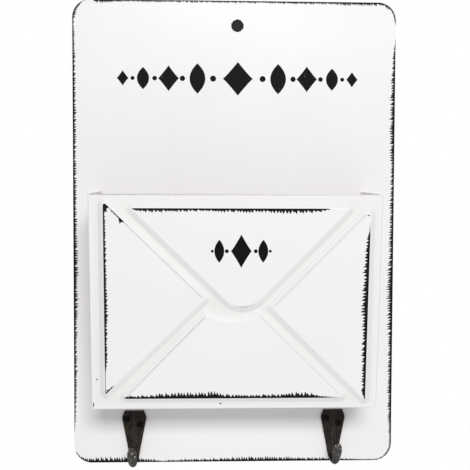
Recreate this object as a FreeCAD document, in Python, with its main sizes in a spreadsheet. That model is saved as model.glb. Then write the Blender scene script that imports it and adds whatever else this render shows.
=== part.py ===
import FreeCAD, Part
import math
import os
import Sketcher

# Wall mail organizer: an enamelled sheet-steel back plate with a hanging hole, a folded letter
# pocket pressed with an envelope relief, and two cast-iron hooks on two rivets each.
# Millimetres. The origin is the centre of the hanging hole on the wall plane, which is the back
# face of the plate. +Z is up, +X is to the right, and the front looks along -Y.

# Driving dimensions: name, value, meaning
DRIVING = [
    ("sheet_plate", 1.0, "thickness of the back plate"),
    ("sheet_pocket", 0.8, "thickness of the pocket's sheet"),
    ("corner_radius", 15.5, "corner radius of the back plate"),
    ("edge_bevel", 0.25, "bevel of the plate's enamelled front edge"),
    ("hole_radius", 4.8, "hanging hole"),
    ("hole_below_top", 21.3, "hanging hole below the plate's top edge"),
    ("hole_off_middle", 2.0, "hanging hole to the right of the plate's middle"),
    ("pocket_width", 227.2, "pocket front, across the outside"),
    ("pocket_rise", 170.9, "pocket front, from its bottom edge straight up to its top edge"),
    ("pocket_depth_top", 90.0, "pocket front ahead of the plate, at its top edge"),
    ("pocket_depth_bottom", 71.0, "pocket front ahead of the plate, at its bottom edge"),
    ("pocket_below_hole", 145.7, "pocket's top front edge below the hanging hole"),
    ("pocket_off_middle", 2.0, "pocket to the left of the plate's middle"),
    ("wall_top_rise", 2.6, "side walls' top edge, higher at the plate than at the front"),
    ("fold_radius", 1.6, "outer radius of the pocket's folds"),
    ("flange_width", 19.4, "flange at each side of the pocket"),
    ("flange_drop", 14.0, "flange below the pocket's bottom"),
    ("flange_corner", 15.0, "corner radius of the flange"),
    ("plate_side_margin", 7.0, "plate beside the flange"),
    ("plate_below_pocket", 65.1, "plate below the pocket's bottom"),
    ("relief_height", 3.0, "raised panels above the border of the front"),
    ("relief_slope", 4.4, "width of the slope round a raised panel"),
    ("flap_tip_radius", 18.0, "corner radius of the flap's tip"),
    ("panel_corner_radius", 2.0, "corner radius of the raised panels"),
    ("panel_top_radius", 4.0, "corner radius of the side panels, at the top"),
    ("panel_tip_radius", 1.2, "corner radius of the side panels, towards the middle"),
    ("hollow_dip", 6.0, "dip of the bottom panel's top edge, round the flap's tip"),
    ("hook_spacing", 175.0, "distance between the two hooks"),
    ("hook_below_pocket", 18.9, "top of the hooks below the pocket's bottom"),
    ("hook_top_width", 16.4, "hook foot, across its top edge"),
    ("hook_shoulder_width", 20.8, "hook foot, across its shoulders"),
    ("hook_shoulder_drop", 6.0, "shoulders below the hook's top edge"),
    ("hook_shoulder_round", 3.0, "rounding of the shoulders"),
    ("hook_foot_length", 32.6, "straight foot, from its top edge to the start of the bend"),
    ("hook_waist_width", 10.7, "hook's width at the start of the bend"),
    ("hook_thickness", 3.2, "hook foot along its ridge"),
    ("hook_ridge", 1.0, "ridge of the foot above its long edges, at the shoulders"),
    ("hook_bend_radius", 12.5, "outside radius of the hook's bend"),
    ("hook_bend_turn", 145.0, "turn of the bend, in degrees"),
    ("hook_bend_lead", 0.05, "bend clear of the plate, so that only the foot rests on it"),
    ("hook_neck_width", 4.7, "narrowest place, at the bottom of the bend"),
    ("hook_leaf_length", 20.5, "leaf-shaped end, past the bend"),
    ("hook_leaf_width", 8.9, "widest place of the leaf"),
    ("rivet_shank_radius", 1.85, "rivet shank"),
    ("rivet_head_radius", 2.5, "rivet head, sunk in the hook"),
    ("rivet_head_height", 0.8, "thickness of the rivet head"),
    ("rivet_seat_height", 1.1, "seat of the rivet head above the plate's front"),
    ("rivet_tail_sink", 0.5, "countersink that the rivet tail fills, in the back of the plate"),
    ("rivet_clearance", 0.05, "radial play of the rivet in its holes"),
    ("rivet_upper_side", 6.3, "upper rivet to the left of the hook's middle"),
    ("rivet_upper_drop", 6.8, "upper rivet below the hook's top edge"),
    ("rivet_lower_side", 4.8, "lower rivet to the right of the hook's middle"),
    ("rivet_lower_drop", 11.9, "lower rivet below the hook's top edge"),
]

# Sizes that follow from the driving ones, as formulas of the sheet
DERIVED = [
    ("flange_span", "=pocket_width + 2 * flange_width"),
    ("plate_width", "=flange_span + 2 * plate_side_margin"),
    ("plate_left", "=plate_width / 2 + hole_off_middle"),
    ("pocket_middle", "=hole_off_middle + pocket_off_middle"),
    ("pocket_bottom", "=pocket_below_hole + pocket_rise"),
    ("plate_bottom", "=pocket_bottom + plate_below_pocket"),
    ("plate_height", "=plate_bottom + hole_below_top"),
    ("flange_bottom", "=pocket_bottom + flange_drop"),
    ("flange_height", "=pocket_rise + wall_top_rise + flange_drop"),
    ("flange_left", "=flange_span / 2 + pocket_middle"),
    ("opening_width", "=pocket_width - 2 * sheet_pocket"),
    ("opening_left", "=opening_width / 2 + pocket_middle"),
    ("opening_bottom", "=pocket_bottom - sheet_pocket"),
    ("opening_height", "=pocket_rise + 2 * wall_top_rise"),
    ("wall_rise_back", "=pocket_rise + wall_top_rise"),
    ("fold_inside_radius", "=fold_radius - sheet_pocket"),
    ("front_run", "=pocket_depth_top - pocket_depth_bottom"),
    ("front_slant", "=sqrt(pocket_rise ^ 2 + front_run ^ 2)"),
    ("sheet_level", "=sheet_pocket * front_slant / pocket_rise"),
    ("front_reach_bottom", "=sheet_plate + pocket_depth_bottom - sheet_level"),
    ("hollow_reach_bottom", "=front_reach_bottom + sheet_pocket * front_run / pocket_rise"),
    ("front_reach_top", "=sheet_plate + pocket_depth_top - sheet_level"),
    ("hollow_reach_top", "=front_reach_top + 2 * wall_top_rise * front_run / pocket_rise"),
    ("hollow_top", "=pocket_below_hole - 2 * wall_top_rise"),
    ("hook_top", "=pocket_bottom + hook_below_pocket"),
    ("hook_left_side", "=hole_off_middle + hook_spacing / 2"),
    ("hook_right_side", "=hole_off_middle - hook_spacing / 2"),
    ("rivet_hole_radius", "=rivet_shank_radius + rivet_clearance"),
    ("rivet_tail_radius", "=rivet_hole_radius + rivet_tail_sink"),
    ("rivet_tail_depth", "=rivet_tail_sink + rivet_clearance"),
    ("rivet_seat", "=sheet_plate + rivet_seat_height"),
    ("rivet_crown", "=rivet_seat + rivet_head_height"),
    ("rivet_sink_radius", "=rivet_head_radius + rivet_clearance"),
    ("rivet_upper_down", "=hook_top + rivet_upper_drop"),
    ("rivet_lower_down", "=hook_top + rivet_lower_drop"),
    ("rivet_left_upper_side", "=hook_left_side + rivet_upper_side"),
    ("rivet_left_lower_side", "=hook_left_side - rivet_lower_side"),
    ("rivet_right_upper_side", "=hook_right_side + rivet_upper_side"),
    ("rivet_right_lower_side", "=hook_right_side - rivet_lower_side"),
]

# The raised panels, by the corners of their tops on the pocket's front, in anticlockwise order:
# across from the front's middle as a share of its half width, up its slope from its middle as a
# share of its half slant, and the corner's radius
RAISED_PANELS = {
    "flap": [(0.0528, -0.1163, "flap_tip_radius"), (0.7746, 0.8781, "panel_corner_radius"),
             (-0.7130, 0.8781, "panel_corner_radius")],
    "left_panel": [(-0.8979, 0.9479, "panel_top_radius"), (-0.8979, -0.8200, "panel_corner_radius"),
                   (-0.2113, 0.0523, "panel_tip_radius")],
    "right_panel": [(0.9129, -0.9014, "panel_corner_radius"), (0.9129, 0.8839, "panel_top_radius"),
                    (0.2465, -0.0291, "panel_tip_radius")],
    "bottom_panel": [(0.1602, -0.0930, ""), (-0.2042, -0.0930, ""),
                     (-0.7738, -0.8793, "panel_corner_radius"),
                     (0.7553, -0.8793, "panel_corner_radius")],
}
# The bottom panel's top edge, its first side, is an arc that dips round the tip of the flap
HOLLOW_PANEL = "bottom_panel"

# Sections of the hook's bend: share of its turn, blend from the waist's width to the neck's,
# thickness and rise of the back ridge, both as shares of the foot's thickness
BEND_SECTIONS = [(0.12, 0.16, 1.03, 0.04), (0.28, 0.46, 1.09, 0.12), (0.44, 0.80, 1.13, 0.22),
                 (0.62, 1.00, 1.13, 0.30), (0.80, 0.98, 1.06, 0.33), (0.96, 0.72, 0.98, 0.34)]
# Sections of the hook's leaf: share of its length, width as a share of its widest place, and
# thickness as a share of the foot's
LEAF_SECTIONS = [(0.22, 0.88, 0.92), (0.40, 1.00, 0.90), (0.60, 0.95, 0.84), (0.78, 0.74, 0.76),
                 (0.92, 0.40, 0.64), (1.00, 0.14, 0.55)]
# Places on the foot where it blends into the bend, as shares of its length
FOOT_SECTIONS = [0.80, 0.88, 0.96]
# Height of the long edges in front and behind, as shares of the thickness there
BEND_EDGE_LOSS = 0.26
LEAF_EDGE_FRONT = 0.70
LEAF_EDGE_BACK = 0.34

RIVETS = ["rivet_left_upper", "rivet_left_lower", "rivet_right_upper", "rivet_right_lower"]

doc = FreeCAD.newDocument("wall_mail_organizer")
sheet = doc.addObject("Spreadsheet::Sheet", "sizes")


def fill_sheet():
    """One row for each size: its meaning or name, and its number or formula, with an alias."""
    rows = [(alias, str(number), meaning) for alias, number, meaning in DRIVING]
    rows += [(alias, formula, alias.replace("_", " ")) for alias, formula in DERIVED]
    for row, (alias, content, meaning) in enumerate(rows, start=1):
        sheet.set("A%d" % row, meaning)
        sheet.set("B%d" % row, content)
        sheet.setAlias("B%d" % row, alias)
    doc.recompute()


def size(alias):
    """A size, read from the sheet."""
    return float(sheet.get(alias))


def spot(across, up):
    """A point of a sketch or of a flat outline."""
    return FreeCAD.Vector(across, up, 0)


def near(a, b):
    return abs(a - b) < 1e-4


def rivet_drop(name):
    """The alias of the rivet's distance below the hanging hole."""
    return "rivet_upper_down" if name.endswith("upper") else "rivet_lower_down"


def new_body(name):
    body = doc.addObject("PartDesign::Body", name)
    body.Label = name
    return body


def new_sketch(body, name, role, lift="0"):
    """A sketch on an origin plane of its body, lifted along the plane's normal."""
    sketch = body.newObject("Sketcher::SketchObject", name)
    plane = next(item for item in body.Origin.OriginFeatures if item.Role == role)
    sketch.AttachmentSupport = [(plane, "")]
    sketch.MapMode = "FlatFace"
    sketch.setExpression("AttachmentOffset.Base.z", lift)
    return sketch


def measure(sketch, name, kind, places, alias):
    """A named dimension of a sketch, bound to the sheet."""
    number = sketch.addConstraint(Sketcher.Constraint(kind, *places, size(alias)))
    sketch.renameConstraint(number, name)
    sketch.setExpression("Constraints." + name, "sizes." + alias)


def draw_outline(sketch, corners):
    """A closed outline of straight lines."""
    count = len(corners)
    for number in range(count):
        ends = spot(*corners[number]), spot(*corners[(number + 1) % count])
        sketch.addGeometry(Part.LineSegment(*ends), False)
    for number in range(count):
        sketch.addConstraint(Sketcher.Constraint("Coincident", number, 2, (number + 1) % count, 1))


def align(sketch, sides):
    """Keeps sides of an outline level or upright."""
    for number, direction in sides.items():
        sketch.addConstraint(Sketcher.Constraint(direction, number))


def draw_rectangle(sketch, left, drop, width, height):
    """A rectangle, from its edges' distances left of and below the origin."""
    low = (-size(left), -size(drop))
    high = (low[0] + size(width), low[1] + size(height))
    draw_outline(sketch, [low, (high[0], low[1]), high, (low[0], high[1])])
    align(sketch, {0: "Horizontal", 1: "Vertical", 2: "Horizontal", 3: "Vertical"})
    measure(sketch, "width", "DistanceX", (0, 1, 0, 2), width)
    measure(sketch, "height", "DistanceY", (1, 1, 1, 2), height)
    measure(sketch, "left", "DistanceX", (0, 1, -1, 1), left)
    measure(sketch, "drop", "DistanceY", (0, 1, -1, 1), drop)


def draw_circle(sketch, number, left, drop, radius):
    """A circle, from its distances left of and below the origin."""
    centre = spot(-size(left), -size(drop))
    sketch.addGeometry(Part.Circle(centre, FreeCAD.Vector(0, 0, 1), size(radius)), False)
    measure(sketch, "radius_%d" % number, "Radius", (number,), radius)
    measure(sketch, "drop_%d" % number, "DistanceY", (number, 3, -1, 1), drop)
    if size(left) > 0:
        measure(sketch, "left_%d" % number, "DistanceX", (number, 3, -1, 1), left)
    else:
        number_of_place = sketch.addConstraint(
            Sketcher.Constraint("DistanceX", -1, 1, number, 3, -size(left)))
        sketch.renameConstraint(number_of_place, "left_%d" % number)
        sketch.setExpression("Constraints.left_%d" % number, "-sizes." + left)


def pad(body, name, sketch, length, symmetric=False):
    feature = body.newObject("PartDesign::Pad", name)
    feature.Profile = sketch
    feature.SideType = "Symmetric" if symmetric else "One side"
    feature.setExpression("Length", "sizes." + length)
    doc.recompute()
    return feature


def cut_through(body, name, sketch):
    """A pocket through the whole body, checked to take material away."""
    before = body.Shape.Volume
    feature = body.newObject("PartDesign::Pocket", name)
    feature.Profile = sketch
    feature.Type = "ThroughAll"
    feature.SideType = "Symmetric"
    doc.recompute()
    if body.Shape.Volume > before - 1e-3:
        raise RuntimeError(name + " takes nothing away")
    return feature


def edges_where(shape, test):
    """Names such as Edge3 of the edges that pass the test."""
    return ["Edge%d" % number for number, edge in enumerate(shape.Edges, start=1) if test(edge)]


def fillet(body, name, edges, alias):
    solid = body.Tip
    feature = body.newObject("PartDesign::Fillet", name)
    feature.Base = (solid, edges)
    feature.setExpression("Radius", "sizes." + alias)
    doc.recompute()
    return feature


def chamfer(body, name, edges, alias):
    solid = body.Tip
    feature = body.newObject("PartDesign::Chamfer", name)
    feature.Base = (solid, edges)
    feature.setExpression("Size", "sizes." + alias)
    doc.recompute()
    return feature


def make_back_plate():
    """Flat plate with rounded corners, the hanging hole and countersunk rivet holes."""
    body = new_body("back_plate")
    outline = new_sketch(body, "plate_outline", "XZ_Plane")
    draw_rectangle(outline, "plate_left", "plate_bottom", "plate_width", "plate_height")
    pad(body, "plate_sheet", outline, "sheet_plate")
    corners = edges_where(body.Shape, lambda edge: near(edge.Length, size("sheet_plate")))
    fillet(body, "plate_corners", corners, "corner_radius")
    front = edges_where(body.Shape, lambda edge: near(edge.CenterOfMass.y, -size("sheet_plate")))
    chamfer(body, "plate_front_rim", front, "edge_bevel")
    holes = new_sketch(body, "plate_holes", "XZ_Plane")
    holes.addGeometry(Part.Circle(spot(0, 0), FreeCAD.Vector(0, 0, 1), size("hole_radius")), False)
    holes.addConstraint(Sketcher.Constraint("Coincident", 0, 3, -1, 1))
    measure(holes, "hanging_radius", "Radius", (0,), "hole_radius")
    for number, name in enumerate(RIVETS, start=1):
        draw_circle(holes, number, name + "_side", rivet_drop(name), "rivet_hole_radius")
    cut_through(body, "plate_hole_cuts", holes)
    sinks = edges_where(body.Shape, lambda edge: isinstance(edge.Curve, Part.Circle)
                        and near(edge.Curve.Radius, size("rivet_hole_radius"))
                        and near(edge.CenterOfMass.y, 0))
    chamfer(body, "rivet_countersinks", sinks, "rivet_tail_sink")


def draw_pocket_side(sketch):
    """The pocket from the side: a level bottom, a front that leans out, and a rising top edge."""
    back = -size("sheet_plate")
    corners = [(back, -size("pocket_bottom")),
               (back - size("pocket_depth_bottom"), -size("pocket_bottom")),
               (back - size("pocket_depth_top"), -size("pocket_below_hole")),
               (back, size("wall_rise_back") - size("pocket_bottom"))]
    draw_outline(sketch, corners)
    align(sketch, {0: "Horizontal", 3: "Vertical"})
    measure(sketch, "plate", "DistanceX", (0, 1, -1, 1), "sheet_plate")
    measure(sketch, "bottom", "DistanceY", (0, 1, -1, 1), "pocket_bottom")
    measure(sketch, "depth_bottom", "DistanceX", (0, 2, 0, 1), "pocket_depth_bottom")
    measure(sketch, "depth_top", "DistanceX", (2, 1, 0, 1), "pocket_depth_top")
    measure(sketch, "rise", "DistanceY", (1, 1, 1, 2), "pocket_rise")
    measure(sketch, "rise_back", "DistanceY", (0, 1, 2, 2), "wall_rise_back")


def draw_hollow_side(sketch):
    """The inside of the pocket from the side, past its open back and its open top."""
    corners = [(0, -size("opening_bottom")),
               (-size("hollow_reach_bottom"), -size("opening_bottom")),
               (-size("hollow_reach_top"), -size("hollow_top")),
               (0, -size("hollow_top"))]
    draw_outline(sketch, corners)
    align(sketch, {0: "Horizontal", 2: "Horizontal", 3: "Vertical"})
    sketch.addConstraint(Sketcher.Constraint("PointOnObject", 0, 1, -2))
    measure(sketch, "bottom", "DistanceY", (0, 1, -1, 1), "opening_bottom")
    measure(sketch, "top", "DistanceY", (2, 2, -1, 1), "hollow_top")
    measure(sketch, "reach_bottom", "DistanceX", (0, 2, -1, 1), "hollow_reach_bottom")
    measure(sketch, "reach_top", "DistanceX", (2, 1, -1, 1), "hollow_reach_top")


def make_folded_block(name, draw_side, width, bottom, radius):
    """A solid block with the pocket's side view, as wide as the pocket, with rounded folds."""
    body = new_body(name)
    side = new_sketch(body, name + "_side", "YZ_Plane", "-sizes.pocket_middle")
    draw_side(side)
    pad(body, name + "_block", side, width, symmetric=True)
    fillet(body, name + "_folds", fold_edges(body.Shape, -size(bottom), size(width)), radius)
    return body


def make_pocket_tray():
    """The folded tray, a sheet open at its top and its back: a block less the room inside it."""
    block = make_folded_block("pocket_outside", draw_pocket_side, "pocket_width",
                              "pocket_bottom", "fold_radius")
    room = make_folded_block("pocket_inside", draw_hollow_side, "opening_width",
                             "opening_bottom", "fold_inside_radius")
    tray = doc.addObject("Part::Cut", "pocket_tray")
    tray.Base = block
    tray.Tool = room
    return tray


def fold_edges(shape, bottom, width):
    """The sharp folds of the pocket: round its bottom, and both sides of its leaning front."""

    def is_fold(edge):
        if edge.Degenerated or not isinstance(edge.Curve, Part.Line):
            return False
        middle = edge.CenterOfMass
        ahead = middle.y < -size("pocket_depth_bottom")
        beside = near(abs(middle.x + size("pocket_middle")), width / 2)
        at_back = middle.y > -2 * size("sheet_plate")
        return (beside and ahead) or (near(middle.z, bottom) and not at_back)

    return edges_where(shape, is_fold)


def make_pocket_flange():
    """The flange that lies on the plate at both sides and below, round the pocket's opening."""
    body = new_body("pocket_flange")
    outline = new_sketch(body, "flange_outline", "XZ_Plane", "sizes.sheet_plate")
    draw_rectangle(outline, "flange_left", "flange_bottom", "flange_span", "flange_height")
    pad(body, "flange_sheet", outline, "sheet_pocket")
    corners = edges_where(body.Shape, lambda edge: near(edge.Length, size("sheet_pocket")))
    fillet(body, "flange_corners", corners, "flange_corner")
    opening = new_sketch(body, "flange_opening", "XZ_Plane", "sizes.sheet_plate")
    draw_rectangle(opening, "opening_left", "opening_bottom", "opening_width", "opening_height")
    cut_through(body, "flange_opening_cut", opening)
    return body


def panel_corners(name):
    """A panel's sharp corners on the flat front, and their radii."""
    across, up = size("pocket_width") / 2, size("front_slant") / 2
    places = [spot(across * side, up * rise) for side, rise, alias in RAISED_PANELS[name]]
    return places, [size(alias) if alias else 0.0 for side, rise, alias in RAISED_PANELS[name]]


def offset_corners(corners, grow):
    """The corners of the outline whose sides lie farther out by grow."""
    count = len(corners)
    moved = []
    for number in range(count):
        lines = []
        for start, end in [(number - 1, number), (number, (number + 1) % count)]:
            a, b = corners[start], corners[end]
            along = (b - a).normalize()
            lines.append((a + FreeCAD.Vector(along.y, -along.x, 0) * grow, along))
        (p, d), (q, e) = lines
        reach = ((q - p).cross(e)).z / (d.cross(e)).z
        moved.append(p + d * reach)
    return moved


def rounded_corner(before, corner, after, radius):
    """The arc that rounds a corner, as its start, middle and end."""
    inward = (corner - before).normalize()
    outward = (after - corner).normalize()
    half_turn = inward.getAngle(outward) / 2
    setback = radius * math.tan(half_turn)
    middle = (outward - inward).normalize() * (radius / math.cos(half_turn) - radius)
    return corner - inward * setback, corner + middle, corner + outward * setback


def hollow_arc(corners, grow):
    """The circle of the dipping first side: its centre and its radius, less by grow."""
    right, left = corners[:2]
    half, dip = (right - left).Length / 2, size("hollow_dip")
    radius = (half ** 2 + dip ** 2) / (2 * dip)
    centre = (right + left) / 2 + spot(0, radius - dip)
    return centre, radius - grow


def meet_circle(centre, radius, inside, outside):
    """Where the line from inside the panel to its corner meets the dipping arc."""
    along = (outside - inside).normalize()
    to_centre = centre - inside
    foot = to_centre.dot(along)
    gap = to_centre.Length ** 2 - foot ** 2
    return inside + along * (foot - math.sqrt(radius ** 2 - gap))


def panel_wire(name, grow, level):
    """A panel's outline at a level, its sides farther out by grow than those of its top."""
    corners, radii = panel_corners(name)
    places = offset_corners(corners, grow)
    count = len(corners)
    if name == HOLLOW_PANEL:
        centre, radius = hollow_arc(corners, grow)
        places[0] = meet_circle(centre, radius, places[-1], places[0])
        places[1] = meet_circle(centre, radius, places[2], places[1])
    stops = []
    for number in range(count):
        if radii[number] > 0:
            before, after = places[number - 1], places[(number + 1) % count]
            stops.append(rounded_corner(before, places[number], after, radii[number] + grow))
        else:
            stops.append((places[number], None, places[number]))
    edges = []
    for number in range(count):
        start, middle, end = stops[number]
        if middle is not None:
            edges.append(Part.Arc(start, middle, end).toShape())
        following = stops[(number + 1) % count][0]
        if name == HOLLOW_PANEL and number == 0:
            edges.append(Part.Arc(end, centre - spot(0, radius), following).toShape())
        else:
            edges.append(Part.LineSegment(end, following).toShape())
    wire = Part.Wire(edges)
    wire.translate(FreeCAD.Vector(0, 0, level))
    return wire


def front_placement():
    """From a flat drawing to the pocket's front: across, up its slope, and out along its normal."""
    depth_middle = (size("pocket_depth_top") + size("pocket_depth_bottom")) / 2
    lean = math.atan2(size("pocket_depth_top") - size("pocket_depth_bottom"), size("pocket_rise"))
    middle = FreeCAD.Vector(-size("pocket_middle"), -size("sheet_plate") - depth_middle,
                            -size("pocket_bottom") + size("pocket_rise") / 2)
    turn = FreeCAD.Rotation(FreeCAD.Vector(1, 0, 0), 90 + math.degrees(lean))
    return FreeCAD.Placement(middle, turn)


def make_panel_solid(name, label, sink):
    """A raised panel with sloping sides, sunk along the front's normal."""
    foot = panel_wire(name, size("relief_slope"), -sink)
    top = panel_wire(name, 0.0, size("relief_height") - sink)
    solid = doc.addObject("Part::Feature", label)
    solid.Shape = Part.makeLoft([foot, top], True, True)
    solid.Placement = front_placement()
    return solid


def make_letter_pocket():
    """The tray with its flange and its panels, pressed out in front and hollow behind."""
    tray = make_pocket_tray()
    flange = make_pocket_flange()
    raised = [make_panel_solid(name, name + "_raised", 0.0) for name in RAISED_PANELS]
    sink = size("sheet_pocket")
    hollows = [make_panel_solid(name, name + "_hollow", sink) for name in RAISED_PANELS]
    pressed = doc.addObject("Part::MultiFuse", "pressed_pocket")
    pressed.Shapes = [tray, flange] + raised
    pressed.Refine = True
    hollow = doc.addObject("Part::Compound", "panel_hollows")
    hollow.Links = hollows
    pocket = doc.addObject("Part::Cut", "letter_pocket")
    pocket.Base = pressed
    pocket.Tool = hollow
    doc.recompute()
    return pocket


def hook_section(place, outward, width, thickness, edge_front, edge_back):
    """A flattened six-sided section across the hook, with a ridge in front and one behind.

    place is on the ridge behind, and outward points to the hook's front side.
    """
    across = FreeCAD.Vector(width / 2, 0, 0)
    corners = [place - across + outward * edge_back, place, place + across + outward * edge_back,
               place + across + outward * edge_front, place + outward * thickness,
               place - across + outward * edge_front]
    return Part.makePolygon(corners + corners[:1])


def hook_bend_place(turn):
    """The place on the bend's outside after a turn, and the direction to the bend's centre."""
    radius = size("hook_bend_radius")
    angle = math.radians(turn)
    place = FreeCAD.Vector(0, -size("hook_bend_lead") - radius * (1 - math.cos(angle)),
                           -size("hook_foot_length") - radius * math.sin(angle))
    return place, FreeCAD.Vector(0, -math.cos(angle), math.sin(angle))


def hook_sections():
    """Sections from the foot's lower half, round the bend and along the leaf to its end."""
    thick = size("hook_thickness")
    waist, neck, leaf = size("hook_waist_width"), size("hook_neck_width"), size("hook_leaf_width")
    foot, turn_end = size("hook_foot_length"), size("hook_bend_turn")
    ahead = FreeCAD.Vector(0, -1, 0)
    sections = []
    for fall in FOOT_SECTIONS:
        place = FreeCAD.Vector(0, -size("hook_bend_lead"), -foot * fall)
        sections.append(hook_section(place, ahead, foot_width(foot * fall), thick,
                                     foot_edge(foot * fall), 0.0))
    for share, blend, deep, behind in BEND_SECTIONS:
        place, outward = hook_bend_place(turn_end * share)
        width = waist + (neck - waist) * blend
        sections.append(hook_section(place, outward, width, thick * deep,
                                     thick * (deep - BEND_EDGE_LOSS), thick * behind))
    start, outward = hook_bend_place(turn_end)
    along = FreeCAD.Vector(1, 0, 0).cross(outward)
    for share, wide, deep in LEAF_SECTIONS:
        place = start + along * (size("hook_leaf_length") * share)
        depth = thick * deep
        sections.append(hook_section(place, outward, leaf * wide, depth, depth * LEAF_EDGE_FRONT,
                                     depth * LEAF_EDGE_BACK))
    return sections


def foot_width(fall):
    """Width of the foot at a distance below its top, along its straight tapering sides."""
    shoulder, waist = size("hook_shoulder_width"), size("hook_waist_width")
    drop, foot = size("hook_shoulder_drop"), size("hook_foot_length")
    return shoulder + (waist - shoulder) * (fall - drop) / (foot - drop)


def foot_edge(fall):
    """Thickness along the foot's long edges, where its sloping facets run out."""
    return size("hook_thickness") - size("hook_ridge") * foot_width(fall) / size("hook_shoulder_width")


def make_hook_foot(label):
    """The shield-shaped foot: its outline as a plate, cut to a shallow roof with a ridge."""
    top, shoulder = size("hook_top_width") / 2, size("hook_shoulder_width") / 2
    drop, low = size("hook_shoulder_drop"), size("hook_foot_length") * FOOT_SECTIONS[0]
    end = foot_width(low) / 2
    outline = [spot(-end, -low), spot(end, -low), spot(shoulder, -drop), spot(top, 0),
               spot(-top, 0), spot(-shoulder, -drop)]
    thick, ridge = size("hook_thickness"), size("hook_ridge")
    plate = Part.Face(Part.makePolygon(outline + outline[:1]))
    plate = plate.extrude(FreeCAD.Vector(0, 0, thick))
    shoulders = [edge for edge in plate.Edges
                 if near(edge.Length, thick) and near(edge.CenterOfMass.y, -drop)]
    plate = plate.makeFillet(size("hook_shoulder_round"), shoulders)
    plate.rotate(FreeCAD.Vector(0, 0, 0), FreeCAD.Vector(1, 0, 0), 90)
    roof = [FreeCAD.Vector(-shoulder, 0, 0), FreeCAD.Vector(shoulder, 0, 0),
            FreeCAD.Vector(shoulder, ridge - thick, 0), FreeCAD.Vector(0, -thick, 0),
            FreeCAD.Vector(-shoulder, ridge - thick, 0)]
    roof = Part.Face(Part.makePolygon(roof + roof[:1])).extrude(FreeCAD.Vector(0, 0, -low))
    foot = doc.addObject("Part::Feature", label)
    foot.Shape = plate.common(roof)
    return foot


def place_at_hook(thing, side, lift):
    """Puts a piece drawn at the hook's top edge where the hook is, ahead of the plate by lift."""
    thing.setExpression("Placement.Base.x", "-sizes." + side)
    thing.setExpression("Placement.Base.y", lift)
    thing.setExpression("Placement.Base.z", "-sizes.hook_top")


def make_hook(name, side):
    """A cast hook: its foot, its bend with the leaf, and two stepped holes for the rivets."""
    foot = make_hook_foot(name + "_foot")
    bend = doc.addObject("Part::Feature", name + "_bend")
    bend.Shape = Part.makeLoft(hook_sections(), True, False)
    casting = doc.addObject("Part::MultiFuse", name + "_casting")
    casting.Shapes = [foot, bend]
    tools = []
    for level, sign in (("upper", "-"), ("lower", "")):
        for part, radius, lift in (("shank", "rivet_hole_radius", "0"),
                                   ("head", "rivet_sink_radius", "-sizes.rivet_seat_height")):
            drill = doc.addObject("Part::Cylinder", "%s_%s_%s" % (name, level, part))
            drill.setExpression("Radius", "sizes." + radius)
            drill.setExpression("Height", "2 * sizes.hook_thickness")
            drill.Placement.Rotation = FreeCAD.Rotation(FreeCAD.Vector(1, 0, 0), 90)
            drill.setExpression("Placement.Base.x", "%ssizes.rivet_%s_side" % (sign, level))
            drill.setExpression("Placement.Base.y", lift)
            drill.setExpression("Placement.Base.z", "-sizes.rivet_%s_drop" % level)
            tools.append(drill)
    holes = doc.addObject("Part::MultiFuse", name + "_holes")
    holes.Shapes = tools
    hook = doc.addObject("Part::Cut", name)
    hook.Base = casting
    hook.Tool = holes
    place_at_hook(hook, side, "-sizes.sheet_plate")
    doc.recompute()
    return hook


def make_rivet(name):
    """A turned rivet: a tail that fills the countersink, a shank, and a flat head."""
    body = new_body(name)
    profile = new_sketch(body, name + "_profile", "XY_Plane")
    corners = [("", ""), ("rivet_tail_radius", ""), ("rivet_shank_radius", "rivet_tail_depth"),
               ("rivet_shank_radius", "rivet_seat"), ("rivet_head_radius", "rivet_seat"),
               ("rivet_head_radius", "rivet_crown"), ("", "rivet_crown")]
    places = [(size(out) if out else 0, -size(down) if down else 0) for out, down in corners]
    draw_outline(profile, places)
    for number, (out, down) in enumerate(corners):
        if out:
            measure(profile, "out_%d" % number, "DistanceX", (-1, 1, number, 1), out)
        else:
            profile.addConstraint(Sketcher.Constraint("PointOnObject", number, 1, -2))
        if down:
            measure(profile, "ahead_%d" % number, "DistanceY", (number, 1, -1, 1), down)
        else:
            profile.addConstraint(Sketcher.Constraint("PointOnObject", number, 1, -1))
    turned = body.newObject("PartDesign::Revolution", name + "_turned")
    turned.Profile = profile
    turned.ReferenceAxis = (profile, ["V_Axis"])
    body.setExpression("Placement.Base.x", "-sizes.%s_side" % name)
    body.setExpression("Placement.Base.z", "-sizes." + rivet_drop(name))


def check_and_write(names):
    """Checks every object and each piece, and writes one STEP file for each piece."""
    doc.recompute()
    for item in doc.Objects:
        if "Invalid" in item.State or "Error" in item.State:
            raise RuntimeError(item.Name + " failed: " + ", ".join(item.State))
    pieces = {item.Label: item for item in doc.Objects if item.Label in names}
    os.makedirs("parts", exist_ok=True)
    for name in names:
        shape = pieces[name].Shape
        if shape.isNull() or not shape.isValid() or len(shape.Solids) != 1:
            raise RuntimeError(name + " is not one valid solid")
        print("%-20s volume %9.1f mm3, box %s" % (name, shape.Volume, shape.BoundBox))
    for name in names:
        pieces[name].Shape.exportStep("parts/" + name + ".step")


fill_sheet()
make_back_plate()
make_letter_pocket()
make_hook("hook_left", "hook_left_side")
make_hook("hook_right", "hook_right_side")
for rivet_name in RIVETS:
    make_rivet(rivet_name)
check_and_write(["back_plate", "letter_pocket", "hook_left", "hook_right"] + RIVETS)
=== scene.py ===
import math
import bmesh
import bpy
import numpy as np
from mathutils import Euler, Matrix
from mathutils.geometry import delaunay_2d_cdt


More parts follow.
